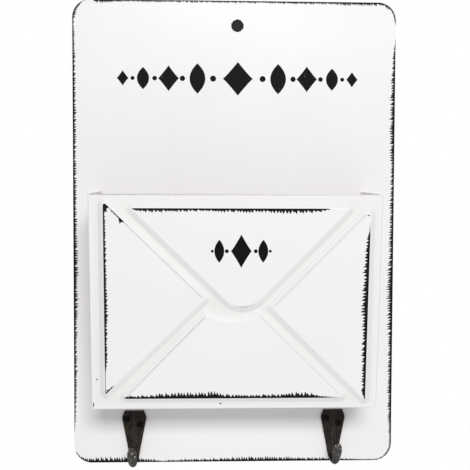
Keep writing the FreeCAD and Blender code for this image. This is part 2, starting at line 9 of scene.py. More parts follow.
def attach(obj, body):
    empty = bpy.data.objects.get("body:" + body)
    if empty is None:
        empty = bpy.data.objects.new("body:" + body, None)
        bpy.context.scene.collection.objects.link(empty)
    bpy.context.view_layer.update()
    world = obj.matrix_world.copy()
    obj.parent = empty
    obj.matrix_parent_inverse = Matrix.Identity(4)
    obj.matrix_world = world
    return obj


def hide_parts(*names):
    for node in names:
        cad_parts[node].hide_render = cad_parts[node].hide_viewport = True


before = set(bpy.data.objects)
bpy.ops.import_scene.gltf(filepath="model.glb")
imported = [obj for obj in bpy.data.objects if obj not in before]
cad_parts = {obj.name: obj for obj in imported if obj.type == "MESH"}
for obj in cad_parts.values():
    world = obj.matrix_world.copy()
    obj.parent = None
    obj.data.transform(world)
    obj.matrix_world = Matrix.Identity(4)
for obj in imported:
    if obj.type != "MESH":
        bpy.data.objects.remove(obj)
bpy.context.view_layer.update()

# Wall mail organizer. All shapes are worked out in millimetres in the frame of the solids:
# the origin is the centre of the hanging hole on the wall plane, +Z is up, the front faces -Y.

# The plate's lower left and upper right corners, its corner radius and thickness, and its hole
PLATE_LOW, PLATE_HIGH = np.array([-142.0, -381.7]), np.array([138.0, 21.3])
PLATE_CORNER, PLATE_SHEET = 15.5, 1.0
HOLE_RADIUS, HOLE_POINTS = 4.8, 48
# The rivet holes: their places, their radius in front and behind, and the points round them
RIVET_PLACES = [(-95.8, -342.3), (-84.7, -347.4), (79.2, -342.3), (90.3, -347.4)]
RIVET_HOLE, RIVET_SINK, RIVET_POINTS = 1.9, 2.4, 24

# The pocket's middle and half width, the heights of its edges, the depths of its front's lower and
# upper edge, and its flange: face, half width, lower edge and corner radius
POCKET_MIDDLE, POCKET_HALF = -4.0, 113.6
POCKET_BOTTOM, POCKET_TOP, WALL_TOP = -316.6, -145.7, -143.1
FRONT_LOW, FRONT_HIGH = -72.0, -91.0
FLANGE_FACE, FLANGE_HALF, FLANGE_BOTTOM, FLANGE_CORNER = -1.8, 133.0, -330.6, 15.0
# How far ahead the relief may stand, so that it stays within the solids' reach
POCKET_REACH = -92.85
# The pocket's sheet, and the radii of the fold round its front, of the edges between its walls and
# its bottom, and of the bend at the flange
SHEET, FOLD, EDGE_FOLD, ROOT = 0.8, 1.1, 2.0, 1.3
# Rows of points down each wall, those beside the flange's corner among them, and along half the
# bottom; and points along the front's top edge
WALL_ROWS, CORNER_ROWS, BOTTOM_ROWS, RIM_POINTS = 74, 15, 39, 58

# The angle by which the front leans out, its middle, and its directions up and out
LEAN = math.atan2(FRONT_LOW - FRONT_HIGH, POCKET_TOP - POCKET_BOTTOM)
FRONT_MIDDLE = np.array([POCKET_MIDDLE, (FRONT_LOW + FRONT_HIGH) / 2, (POCKET_TOP + POCKET_BOTTOM) / 2])
UP_SLOPE = np.array([0.0, -math.sin(LEAN), math.cos(LEAN)])
OUT_OF_FRONT = np.array([0.0, -math.cos(LEAN), -math.sin(LEAN)])

# The distance from a worn edge that stands for no such edge near
FAR = 20.0


def smooth_between(low, high, x):
    """0 below low, 1 above high, with a soft S between them."""
    t = np.clip((x - low) / (high - low), 0.0, 1.0)
    return t * t * (3.0 - 2.0 * t)


def grid_faces(rows, columns, closed=False):
    """Four-sided faces of a grid of points, row by row; closed joins its last column to its first."""
    i = np.arange(rows - 1)[:, None]
    j = np.arange(columns if closed else columns - 1)[None, :]
    here, below = i * columns, (i + 1) * columns
    after = (j + 1) % columns
    return np.stack([here + j, here + after, below + after, below + j], -1).reshape(-1, 4)


def make_piece(name, points, faces, finishes, slot, values=None, replaces=None):
    """A mesh piece from points in millimetres, with one number per point for each value.

    A piece without a slot is not attached to the body.
    """
    mesh = bpy.data.meshes.new(name)
    mesh.from_pydata((np.asarray(points) * 0.001).tolist(), [], faces)
    for key, numbers in (values or {}).items():
        layer = mesh.attributes.new(key, "FLOAT", "POINT")
        layer.data.foreach_set("value", np.asarray(numbers, np.float32).ravel())
    mesh.polygons.foreach_set("use_smooth", np.ones(len(mesh.polygons), bool))
    for finish in finishes:
        mesh.materials.append(finish)
    piece = bpy.data.objects.new(name, mesh)
    bpy.context.scene.collection.objects.link(piece)
    if replaces:
        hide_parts(replaces)
    if slot:
        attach(piece, "root")
    return piece


def weld(piece, distance=2e-6):
    """Joins points of the piece that lie on each other, in metres."""
    work = bmesh.new()
    work.from_mesh(piece.data)
    bmesh.ops.remove_doubles(work, verts=work.verts, dist=distance)
    work.to_mesh(piece.data)
    work.free()


def soften_edges(piece, width, angle=50):
    """A small rounding of every edge that is sharper than the angle."""
    bevel = piece.modifiers.new("soft_edges", "BEVEL")
    bevel.width = width * 0.001
    bevel.segments = 2
    bevel.limit_method = "ANGLE"
    bevel.angle_limit = math.radians(angle)
    bevel.harden_normals = True
    bevel.use_clamp_overlap = True


# Colours and nodes

def linear(code):
    """A colour from its sRGB hex code, as linear red, green, blue and a full alpha."""
    channels = np.array([int(code[i:i + 2], 16) / 255.0 for i in (1, 3, 5)])
    light = np.where(channels <= 0.04045, channels / 12.92, ((channels + 0.055) / 1.055) ** 2.4)
    return (*light.tolist(), 1.0)


def add_node(tree, kind, inputs=None, **settings):
    """One shader node with its settings.

    An input is a number, a colour, an output, or a node, which gives its first output in use.
    """
    node = tree.nodes.new("ShaderNode" + kind)
    for key, setting in settings.items():
        setattr(node, key, setting)
    for key, given in (inputs or {}).items():
        if isinstance(given, bpy.types.Node):
            given = next(output for output in given.outputs if output.enabled)
        if isinstance(given, bpy.types.NodeSocket):
            tree.links.new(given, node.inputs[key])
        else:
            node.inputs[key].default_value = given
    return node


def new_finish(name):
    """An empty material and its tree."""
    finish = bpy.data.materials.new(name)
    finish.use_nodes = True
    finish.node_tree.nodes.clear()
    return finish, finish.node_tree


def shade(tree, looks):
    """The finish's shader, with its looks by input, and its output."""
    shader = add_node(tree, "BsdfPrincipled", looks)
    add_node(tree, "OutputMaterial", {"Surface": shader})


def point_value(tree, name):
    """The value of this name that the points carry."""
    return add_node(tree, "Attribute", attribute_name=name).outputs["Fac"]


def object_place(tree):
    """The place on the object, in metres."""
    return add_node(tree, "TexCoord").outputs["Object"]


def noise(tree, place, size, detail, roughness):
    """A cloudy pattern whose cells have this size in millimetres."""
    return add_node(tree, "TexNoise", {"Vector": place, "Scale": 1000.0 / size, "Detail": detail,
                    "Roughness": roughness})


def mix(tree, share, first, second, kind="RGBA"):
    """The first colour or number where the share is 0, and the second where it is 1."""
    # The place of the first input of this kind among the node's inputs
    start = {"FLOAT": 2, "RGBA": 6}[kind]
    return add_node(tree, "Mix", {0: share, start: first, start + 1: second}, data_type=kind)


def torn_paint(tree, solid, tooth, pitch):
    """Where the white enamel is gone: a saw-toothed band along an edge, 1 where it is bare.

    The reach of the wear is the point's own value 'worn', in millimetres. About the share solid of
    it is bare all along, and teeth of up to the share tooth, at the pitch in millimetres, fray the
    rest, with finer ones 1 mm apart between them.
    """
    inward = point_value(tree, "edge_in")
    run = point_value(tree, "edge_run")
    worn = point_value(tree, "worn")
    slant = add_node(tree, "Math", {0: inward, 1: 0.12, 2: run}, operation="MULTIPLY_ADD")
    drift = add_node(tree, "TexNoise", {"W": run, "Scale": 1.0 / 6.0, "Detail": 1.0},
                     noise_dimensions="1D")
    depth = add_node(tree, "MapRange", {"Value": drift, "From Min": 0.3, "From Max": 0.7,
                     "To Min": solid - 0.06, "To Max": solid + 0.06})
    # Each tooth falls off from the middle of its cell, and the cell's colour draws its height
    for step, share in ((pitch, tooth), (1.0, 0.16)):
        cell = add_node(tree, "TexVoronoi", {"W": slant, "Scale": 1.0 / step, "Randomness": 0.55},
                        voronoi_dimensions="1D")
        chance = add_node(tree, "SeparateColor", {"Color": cell.outputs["Color"]})
        height = add_node(tree, "MapRange", {"Value": chance, "To Min": 0.5 * share, "To Max": share})
        slope = add_node(tree, "Math", {0: cell, 1: -2.3, 2: 1.15}, operation="MULTIPLY_ADD",
                         use_clamp=True)
        depth = add_node(tree, "Math", {0: slope, 1: height, 2: depth}, operation="MULTIPLY_ADD")
    reach = add_node(tree, "Math", {0: depth, 1: worn}, operation="MULTIPLY")
    ahead = add_node(tree, "Math", {0: reach, 1: inward}, operation="SUBTRACT")
    bare = add_node(tree, "MapRange", {"Value": ahead, "From Min": -0.08, "From Max": 0.08},
                    interpolation_type="SMOOTHSTEP")
    # Beyond the crest the wear goes on for a quarter of its depth, and for 0.35 mm at most
    any_wear = add_node(tree, "Math", {0: worn, 1: 0.05}, operation="GREATER_THAN")
    over = add_node(tree, "Math", {0: worn, 1: -0.25}, operation="MULTIPLY")
    limit = add_node(tree, "Math", {0: over, 1: -0.35}, operation="MAXIMUM")
    on_top = add_node(tree, "Math", {0: inward, 1: limit}, operation="GREATER_THAN")
    both = add_node(tree, "Math", {0: any_wear, 1: on_top}, operation="MULTIPLY")
    return add_node(tree, "Math", {0: bare, 1: both}, operation="MULTIPLY")


def grained_primer(tree, place):
    """The fine grain of black primer, and the primer's colour."""
    grain = noise(tree, place, 1.6, 4.0, 0.6)
    tone = mix(tree, grain, linear("#070707"), linear("#232120"))
    return grain, tone


def white_enamel(name, teeth=None):
    """Near-white enamel sprayed on black-primed sheet steel, satin, rubbed through at the edges.

    The eye sees soft broad highlights, a faint orange peel, and black teeth of bare primer. The
    teeth are given as in torn_paint; without them the enamel is whole.
    """
    finish, tree = new_finish(name)
    place = object_place(tree)
    cloud = noise(tree, place, 70.0, 3.0, 0.5)
    colour = mix(tree, cloud, linear("#F4F2F3"), linear("#F0EDEE"))
    peel = noise(tree, place, 4.0, 2.0, 0.5)
    roughness = add_node(tree, "MapRange", {"Value": cloud, "To Min": 0.34, "To Max": 0.46})
    normal = add_node(tree, "Bump", {"Height": peel, "Strength": 0.25, "Distance": 0.00012})
    gloss = 0.30
    if teeth:
        bare = torn_paint(tree, *teeth)
        grain, primer = grained_primer(tree, place)
        # Painted shade: the grooves round the panels, and a strip just below the top edge, are a little
        # darker
        painted_shade = point_value(tree, "painted_shade")
        with_painted_shade = mix(tree, painted_shade, colour, linear("#ECEBE9"))
        rub = point_value(tree, "rubbed")
        broken = add_node(tree, "MapRange", {"Value": grain, "From Min": 0.35, "From Max": 0.65,
                          "To Min": 0.18, "To Max": 0.42})
        thin = add_node(tree, "Math", {0: rub, 1: broken}, operation="MULTIPLY", use_clamp=True)
        greyed = mix(tree, thin, with_painted_shade, linear("#A3A19D"))
        colour = mix(tree, bare, greyed, primer)
        roughness = mix(tree, bare, roughness, 0.62, "FLOAT")
        coat_edge = add_node(tree, "Math", {0: 1.0, 1: bare}, operation="SUBTRACT")
        normal = add_node(tree, "Bump", {"Height": coat_edge, "Strength": 0.6, "Distance": 0.0002,
                          "Normal": normal})
        gloss = add_node(tree, "MapRange", {"Value": bare, "To Min": gloss, "To Max": 0.08})
    shade(tree, {"Base Color": colour, "Roughness": roughness, "Normal": normal, "IOR": 1.5,
                 "Specular IOR Level": gloss})
    return finish


def hammered_iron():
    """Cast iron blacked in oil: brown-black, satin, in faint upright strokes.

    The leaf is handled bare: dark steel, glossy and pitted, with bright flecks. The points carry
    'ridge', 1 on the crest of the casting, and 'tip', 1 on the leaf.
    """
    finish, tree = new_finish("cast_iron_blacked")
    place = object_place(tree)
    skin = noise(tree, place, 2.0, 5.0, 0.62)
    drawn = add_node(tree, "Mapping", {"Vector": place, "Scale": (1.0, 1.0, 0.18)})
    strokes = noise(tree, drawn, 1.4, 3.0, 0.6)
    light = add_node(tree, "MapRange", {"Value": strokes, "From Min": 0.38, "From Max": 0.66})
    dark = mix(tree, light, linear("#110D0B"), linear("#3A2F29"))
    ridge = point_value(tree, "ridge")
    tip = point_value(tree, "tip")
    rubbed = add_node(tree, "Math", {0: ridge, 1: skin}, operation="MULTIPLY", use_clamp=True)
    worn = mix(tree, rubbed, dark, linear("#51463F"))
    pitted = add_node(tree, "MapRange", {"Value": skin, "From Min": 0.40, "From Max": 0.66})
    bare = mix(tree, pitted, linear("#0F0E0D"), linear("#5E5C58"))
    toned = mix(tree, tip, worn, bare)
    flecks = noise(tree, place, 2.2, 2.0, 0.5)
    bright = add_node(tree, "MapRange", {"Value": flecks, "From Min": 0.645, "From Max": 0.70})
    on_tip = add_node(tree, "Math", {0: bright, 1: tip}, operation="MULTIPLY")
    flecked = mix(tree, on_tip, toned, linear("#E2DED2"))
    satin = add_node(tree, "MapRange", {"Value": skin, "To Min": 0.40, "To Max": 0.62})
    glossy = mix(tree, tip, satin, 0.28, "FLOAT")
    bump = add_node(tree, "Bump", {"Height": skin, "Strength": 0.9, "Distance": 0.0010})
    shade(tree, {"Base Color": flecked, "Metallic": 0.6, "Roughness": glossy, "Normal": bump})
    return finish


def black_steel():
    """Blackened steel of the rivets: nearly black, satin, with fine pits."""
    finish, tree = new_finish("steel_blackened")
    place = object_place(tree)
    pits = noise(tree, place, 1.0, 4.0, 0.6)
    tone = mix(tree, pits, linear("#010101"), linear("#0E0C0B"))
    bump = add_node(tree, "Bump", {"Height": pits, "Strength": 0.5, "Distance": 0.0002})
    shade(tree, {"Base Color": tone, "Roughness": 0.8, "Specular IOR Level": 0.2, "Normal": bump})
    return finish


def printed_black():
    """Black enamel ink screened on the white, dull, with a few fine flecks of white."""
    finish, tree = new_finish("ink_screened_black")
    place = object_place(tree)
    speckle = noise(tree, place, 1.5, 3.0, 0.6)
    missing = add_node(tree, "MapRange", {"Value": speckle, "From Min": 0.70, "From Max": 0.76})
    tone = mix(tree, missing, linear("#060606"), linear("#8E8C8A"))
    shade(tree, {"Base Color": tone, "Roughness": 0.6, "Specular IOR Level": 0.12})
    return finish


def bare_primer():
    """Black primer in the chips of the enamel: dull and slightly grained."""
    finish, tree = new_finish("primer_black")
    tone = grained_primer(tree, object_place(tree))[1]
    shade(tree, {"Base Color": tone, "Roughness": 0.62, "Specular IOR Level": 0.08})
    return finish


# Outlines with rounded corners

# Points round the corner of a panel, and the smallest radius that a corner keeps
ARC_POINTS, SHARPEST = 9, 0.12


def sharp_corners(corners, grow, dip=None):
    """Corners of a straight-sided outline whose sides lie farther out by grow.

    With dip, a centre and a radius, the first side is an arc, and its corners are where the
    neighbouring sides meet that circle.
    """
    into = corners - np.roll(corners, 1, 0)
    into /= np.linalg.norm(into, axis=1)[:, None]
    away = np.roll(into, -1, 0)
    outward = np.stack([into[:, 1], -into[:, 0]], -1)
    turn = into[:, 0] * away[:, 1] - into[:, 1] * away[:, 0]
    cosine = (into * away).sum(1)
    places = corners + grow * (outward + into * ((1 - cosine) / turn)[:, None])
    if dip is not None:
        inside = np.stack([places[-1], places[2]])
        along = places[:2] - inside
        along /= np.linalg.norm(along, axis=1)[:, None]
        to_centre = dip[0] - inside
        foot = (to_centre * along).sum(1)
        gap = (to_centre ** 2).sum(1) - foot ** 2
        places[:2] = inside + along * (foot - np.sqrt((dip[1] - grow) ** 2 - gap))[:, None]
    return places


def rounded_outline(corners, radii, counts, grow=0.0, arc_points=ARC_POINTS, dip=None):
    """Points of an outline with rounded corners, pushed out by grow.

    Each corner is an arc round its inner centre, with its radius plus grow, and each side is
    evenly divided. With dip, the first side is an arc, as in sharp_corners.
    """
    corners = np.asarray(corners, float)
    count = len(corners)
    sides = np.roll(corners, -1, 0) - corners
    normals = np.stack([sides[:, 1], -sides[:, 0]], -1) / np.linalg.norm(sides, axis=1)[:, None]
    arcs = []
    for number in range(count):
        radius = max(radii[number] + grow, SHARPEST)
        middle = sharp_corners(corners, grow - radius, dip)[number]
        ends = [normals[number - 1], normals[number]]
        if dip is not None and number < 2:
            ends[1 - number] = dip[0] - middle
        start, stop = [math.atan2(end[1], end[0]) for end in ends]
        angle = start + np.linspace(0, (stop - start) % (2 * math.pi), arc_points)
        arcs.append(middle + radius * np.stack([np.cos(angle), np.sin(angle)], -1))
    points = []
    for number in range(count):
        first, last = arcs[number][-1], arcs[(number + 1) % count][0]
        line = first + (last - first) * np.linspace(0, 1, counts[number] + 2)[1:-1, None]
        if dip is not None and number == 0:
            spoke = line - dip[0]
            line = dip[0] + spoke / np.linalg.norm(spoke, axis=1)[:, None] * (dip[1] - grow)
        points += [arcs[number], line]
    return np.vstack(points)


def run_along(points):
    """Distance along a closed outline from its first point."""
    steps = np.linalg.norm(np.roll(points, -1, 0) - points, axis=1)
    return np.concatenate([[0.0], np.cumsum(steps)[:-1]])


# Back plate

# Depth of the wear round the hanging hole, and spacing of the points round it
HOLE_WEAR, HOLE_STEP = 0.75, 0.63
# Depth of the wear along each edge, as (place, millimetres): across for the level edges, height
# for the upright ones
PLATE_WEAR = {
    "top": [
        (-138, 2.8), (-134, 1.0), (-132, 0.3), (-125, 0.3), (-122, 2.6), (-112, 3.4), (-104, 2.0),
        (-90, 1.7), (-72, 2.0), (-50, 1.8), (30, 1.8), (42, 2.2), (80, 2.2), (90, 2.8), (115, 3.0),
        (122, 2.6)],
    "right": [
        (-366, 1.9), (-348, 2.7), (-330, 3.6), (-288, 3.6), (-264, 4.1), (-220, 5.2), (-204, 4.0),
        (-150, 3.2), (-132, 2.9), (-108, 3.6), (-84, 4.2), (-60, 3.8), (-48, 3.4), (-30, 2.6),
        (-20, 2.0), (-14, 0.5), (-8, 0), (2, 0), (6, 1.8)],
    "bottom": [
        (-137, 1.6), (-128, 4.2), (-100, 4.8), (-88, 4.0), (-76, 3.0), (-66, 1.4), (-55, 2.0),
        (-44, 2.6), (-24, 2.6), (-12, 3.4), (20, 3.9), (45, 3.6), (66, 3.2), (84, 2.2), (106, 1.8),
        (116, 1.2), (126, 1.3)],
    "left": [
        (-377, 1.6), (-373.5, 1.0), (-371, 0), (-356, 0), (-346, 1.2), (-326, 2.2), (-300, 2.7),
        (-276, 2.7), (-250, 3.4), (-216, 4.0), (-180, 3.4), (-144, 3.0), (-120, 2.7), (-72, 3.0),
        (-48, 2.6), (-24, 2.4), (-6, 1.8), (2, 1.4), (8, 2.6), (16, 2.8)],
}


def plate_wear(points):
    """The depth of wear at points of the plate's outline, from the table of its nearest edge."""
    x, z = points[:, 0], points[:, 1]
    gaps = np.stack([PLATE_HIGH[1] - z, PLATE_HIGH[0] - x, z - PLATE_LOW[1], x - PLATE_LOW[0]])
    depths = []
    for edge, place in (("top", x), ("right", z), ("bottom", x), ("left", z)):
        table = np.array(PLATE_WEAR[edge])
        depths.append(np.interp(place, table[:, 0], table[:, 1]))
    return np.take_along_axis(np.array(depths), gaps.argmin(0)[None], 0)[0]


def ring(centre, radius, count):
    """Points round a circle."""
    angle = np.arange(count) * 2 * math.pi / count
    return np.asarray(centre) + radius * np.stack([np.cos(angle), np.sin(angle)], -1)


def fill_loops(loops):
    """Triangles of a flat face through all the loops, as point numbers in their order."""
    points = np.vstack(loops)
    starts = np.cumsum([0] + [len(loop) for loop in loops])
    edges = []
    for start, loop in zip(starts, loops):
        numbers = np.arange(len(loop))
        edges += np.stack([start + numbers, start + (numbers + 1) % len(loop)], -1).tolist()
    filled = delaunay_2d_cdt(points.tolist(), edges, [], 0, 1e-5)
    first = np.array([origins[0] for origins in filled[3]])
    return points, first[np.array(filled[2])]


def without_holes(points, triangles, holes):
    """The triangles whose middle lies outside every round hole."""
    middle = points[triangles].mean(1)
    keep = np.ones(len(triangles), bool)
    for centre, radius in holes:
        keep &= np.linalg.norm(middle - np.asarray(centre), axis=1) > radius * 0.999
    return triangles[keep]


def make_back_plate(enamel):
    """The plate as two flat faces with holes, joined by the walls of its outline and its holes.

    Its front has loops at set depths from the outline and round the hanging hole, so that the wear
    follows the edges.
    """
    (left, bottom), (right, top) = PLATE_LOW, PLATE_HIGH
    corners = [(left, bottom), (right, bottom), (right, top), (left, top)]
    side_points, corner_points = [110, 160, 110, 160], 16
    depths = [0.0, 0.7, 1.5, 2.5, 4.0, 6.0, 8.5, 12.0]
    front_loops = [rounded_outline(corners, [PLATE_CORNER] * 4, side_points, -depth, corner_points)
                   for depth in depths]
    outline = front_loops[0]
    run, wear = run_along(outline), plate_wear(outline)
    # The values of each loop's points: depth from the worn edge, way along it, and its wear
    numbers = [(depth, run, wear) for depth in depths]
    for radius, depth in ((HOLE_RADIUS, 0.0), (5.6, 0.8), (8.0, 3.2)):
        front_loops.append(ring((0.0, 0.0), radius, HOLE_POINTS))
        numbers.append((depth, np.arange(HOLE_POINTS) * HOLE_STEP, HOLE_WEAR))
    first_rivet = len(front_loops)
    front_loops += [ring(centre, RIVET_HOLE, RIVET_POINTS) for centre in RIVET_PLACES]
    numbers += [(FAR, 0.0, 0.0)] * len(RIVET_PLACES)
    back_loops = [outline, ring((0.0, 0.0), HOLE_RADIUS, HOLE_POINTS)]
    back_loops += [ring(centre, RIVET_SINK, RIVET_POINTS) for centre in RIVET_PLACES]
    numbers += [(0.0, run, 0.0)] + [(0.0, 0.0, 0.0)] * (len(back_loops) - 1)
    sheets = []
    for loops, rivet_hole, y in ((front_loops, RIVET_HOLE, -PLATE_SHEET), (back_loops, RIVET_SINK, 0.0)):
        flat, triangles = fill_loops(loops)
        holes = [((0.0, 0.0), HOLE_RADIUS)] + [(centre, rivet_hole) for centre in RIVET_PLACES]
        points = np.stack([flat[:, 0], np.full(len(flat), y), flat[:, 1]], -1)
        starts = np.cumsum([0] + [len(loop) for loop in loops])
        sheets.append((points, without_holes(flat, triangles, holes), starts))
    (front, front_faces, front_starts), (back, back_faces, back_starts) = sheets
    faces = front_faces.tolist() + (back_faces[:, ::-1] + len(front)).tolist()
    # Loops in front and behind that a wall joins, and whether it faces away from their middle
    pairs = [(0, 0, True), (len(depths), 1, False)]
    pairs += [(first_rivet + n, 2 + n, False) for n in range(len(RIVET_PLACES))]
    for ahead, behind, outer in pairs:
        here = np.arange(len(front_loops[ahead]))
        after = (here + 1) % len(here)
        one, two = front_starts[ahead] + here, front_starts[ahead] + after
        three, four = len(front) + back_starts[behind] + np.stack([after, here])
        faces += np.stack([two, one, four, three] if outer else [one, two, three, four], -1).tolist()
    values = {key: np.concatenate([np.broadcast_to(row[column], len(loop))
                                   for loop, row in zip(front_loops + back_loops, numbers)])
              for column, key in enumerate(("edge_in", "edge_run", "worn"))}
    plate = make_piece("plate_enamelled", np.vstack([front, back]), faces, [enamel],
                       "plate_enamel", values, "back_plate")
    soften_edges(plate, 0.25)


# Letter pocket

# The raised panels of the envelope relief: the corners of their tops as shares of the front's half
# width and half slant, the corners' radii, and points per side
PANELS = {
    "flap": ([(0.0528, -0.1163), (0.7746, 0.8781), (-0.7130, 0.8781)], [18.0, 0.8, 0.8], [60, 90, 60]),
    "left": ([(-0.8979, 0.9479), (-0.9030, -0.8480), (-0.2113, 0.0523)], [1.6, 0.6, 1.2], [80, 56, 56]),
    "right": ([(0.9129, -0.9120), (0.9129, 0.8839), (0.2465, -0.0291)], [0.6, 2.2, 1.2], [80, 56, 56]),
    "bottom": ([(0.1602, -0.0930), (-0.2042, -0.0930), (-0.7738, -0.8793), (0.7553, -0.8793)],
               [0.3, 0.3, 0.9, 0.9], [28, 50, 90, 50]),
}
FRONT_HALF = np.array([POCKET_HALF, math.hypot(POCKET_TOP - POCKET_BOTTOM, FRONT_LOW - FRONT_HIGH) / 2])
# How far the bottom panel's top edge, an arc, dips below its ends, and the panels' height
DIP, PANEL_HEIGHT = 6.0, 3.0

# Depth of the wear on the sides of the panels: side, coordinate read along it (0 across, 1 up the
# slope), how far inside the crest it starts, and (place, depth)
PANEL_WEAR = {
    "flap": [
        (1, 0, 0.4, [(-80, 3.2), (-74, 2.2), (-60, 2.8), (-44, 2.2), (-28, 2.0), (0, 2.6), (12, 2.8),
                     (20, 2.4), (43, 3.5), (60, 2.9), (67, 1.8), (71, 0.8), (72.5, 0)])],
    "left": [
        (0, 1, 0.5, [(-72, 0.6), (-64, 0.4), (-56, 0.4), (-50, 1.1), (-44, 2.2), (-34, 1.8), (-24, 2.0),
                     (-8, 2.7), (4, 2.4), (30, 2.0), (60, 1.6), (70, 1.3), (73, 1.4), (73.6, 12),
                     (83, 12)]),
        (1, 0, 0.2, [(-102, 1.4), (-97, 1.2), (-95, 0)]),
        (2, 0, 0.8, [(-103, 12), (-97.8, 12), (-97.2, 0), (-95.6, 0), (-95, 0.8), (-90, 0.9),
                     (-88.4, 1.0), (-87.6, 3.4), (-86.4, 2.8), (-86, 0)])],
    "right": [
        (0, 1, 0.2, [(-77, 3.6), (-66, 2.6), (-50, 3.1), (-38, 3.4), (-17, 3.6), (-4, 5.0), (10, 4.3),
                     (30, 3.9), (38, 3.2), (46, 3.0), (55, 1.6), (60, 0.3), (65, 0)])],
    "bottom": [
        (2, 0, -0.4, [(-87, 2.6), (-81, 2.2), (-67, 2.7), (-59, 4.1), (-35, 4.2), (-19, 5.1),
                      (-8, 3.2), (5, 2.4), (25, 3.0), (36, 2.6), (44, 4.6), (56, 4.2), (63, 2.9),
                      (73, 1.0), (78, 0.4), (84, 0)])],
}
# Sides whose crest shows a thin grey rubbed line: side, strength, how far inside the crest
PANEL_RUBS = {"flap": [], "left": [(2, 1.1, 0.6)], "right": [(1, 1.0, 0.6)],
              "bottom": [(1, 1.2, 0.6), (3, 0.8, 0.0)]}
# Strength of the rubbed line round the tip of the flap, along its arc
TIP_RUB = np.array([0.0, 0.0, 0.3, 1.2, 2.0, 2.0, 1.2, 0.3, 0.0])
# How far out from the crest the wear ends, and where the painted shade of the groove starts and is full
WEAR_END, SHADE_PLACES = 1.5, [0.4, 3.4]

# The relief from inside a panel to the groove: distance out from the crest, height
RELIEF = [(-10.0, 3.0), (-7.0, 3.0), (-5.0, 3.0), (-3.2, 3.0), (-2.0, 3.0), (-1.1, 3.0), (-0.5, 2.99),
          (-0.2, 2.96), (0.1, 2.86), (0.4, 2.68), (0.7, 2.47), (1.2, 2.10), (1.8, 1.66), (2.4, 1.22),
          (3.0, 0.79), (3.4, 0.50), (3.75, 0.27), (4.05, 0.11), (4.25, 0.03), (4.4, 0.0)]
# The slopes that face down are wider than those that face up: the shift down per distance out
LEANING = 0.14


def on_front(flat, height=0.0):
    """Points of the pocket's front from (across, up the slope) and a height out of it."""
    flat = np.asarray(flat, float)
    height = np.broadcast_to(height, len(flat))[:, None]
    return (FRONT_MIDDLE + flat[:, :1] * np.array([1.0, 0.0, 0.0]) + flat[:, 1:] * UP_SLOPE
            + height * OUT_OF_FRONT)


def rub_share(out):
    """How strong a rubbed line is, from 0 to 1, at a distance out from the crest."""
    return np.interp(out, [-1.1, -0.5, 0.1, 0.7], [0.0, 1.0, 1.0, 0.0])


def panel_loops(name):
    """The loops of a panel's relief, from inside to the groove.

    With each loop come its distance out from the crest and its height, and for each of its points
    the distance in from the worn edge, the way along it, the wear and the rubbed line. The way
    along a worn side, and its wear, are those of the nearest point of its crest, so that the teeth
    stand square to it.
    """
    corners, radii, counts = PANELS[name]
    corners = np.array(corners) * FRONT_HALF
    dip = None
    if name == "bottom":
        right, left = corners[:2]
        half = np.linalg.norm(right - left) / 2
        radius = (half ** 2 + DIP ** 2) / (2 * DIP)
        dip = ((right + left) / 2 + np.array([0.0, radius - DIP]), radius)
    crest = rounded_outline(corners, radii, counts, 0.0, dip=dip)
    crest_run = run_along(crest)
    starts = np.cumsum([0] + [ARC_POINTS + count for count in counts])
    half_arc = ARC_POINTS // 2
    loops = []
    for out, height in RELIEF:
        loop = rounded_outline(corners, radii, counts, out, dip=dip)
        run, worn, inset = crest_run.copy(), np.zeros(len(crest)), np.zeros(len(crest))
        for side, axis, inside, table in PANEL_WEAR[name]:
            table = np.array(table)
            numbers = np.arange(starts[side] + half_arc, starts[side + 1] + half_arc + 1) % len(crest)
            arc_end = starts[side] + ARC_POINTS - 1
            first, last = crest[arc_end], crest[starts[side + 1] % len(crest)]
            toward = (last - first) / np.linalg.norm(last - first)
            ahead = (loop[numbers] - first) @ toward
            run[numbers] = crest_run[arc_end] + ahead
            place = first[axis] + ahead * toward[axis]
            worn[numbers] = np.interp(place, table[:, 0], table[:, 1]) * (out < WEAR_END)
            inset[numbers] = inside
        rubbed = np.zeros(len(crest))
        for side, strength, inside in PANEL_RUBS[name]:
            rubbed[starts[side] + ARC_POINTS:starts[side + 1]] = strength * rub_share(out + inside)
        if name == "flap":
            rubbed[:ARC_POINTS] = TIP_RUB * rub_share(out)
        loop = loop - [0.0, LEANING * max(out, 0.0)]
        loops.append((loop, out, height, -out - inset, run, worn, rubbed))
    return loops


def front_height(z):
    """Where the front's face lies, ahead of the wall, at a height."""
    return FRONT_LOW + (z - POCKET_BOTTOM) * (FRONT_HIGH - FRONT_LOW) / (POCKET_TOP - POCKET_BOTTOM)


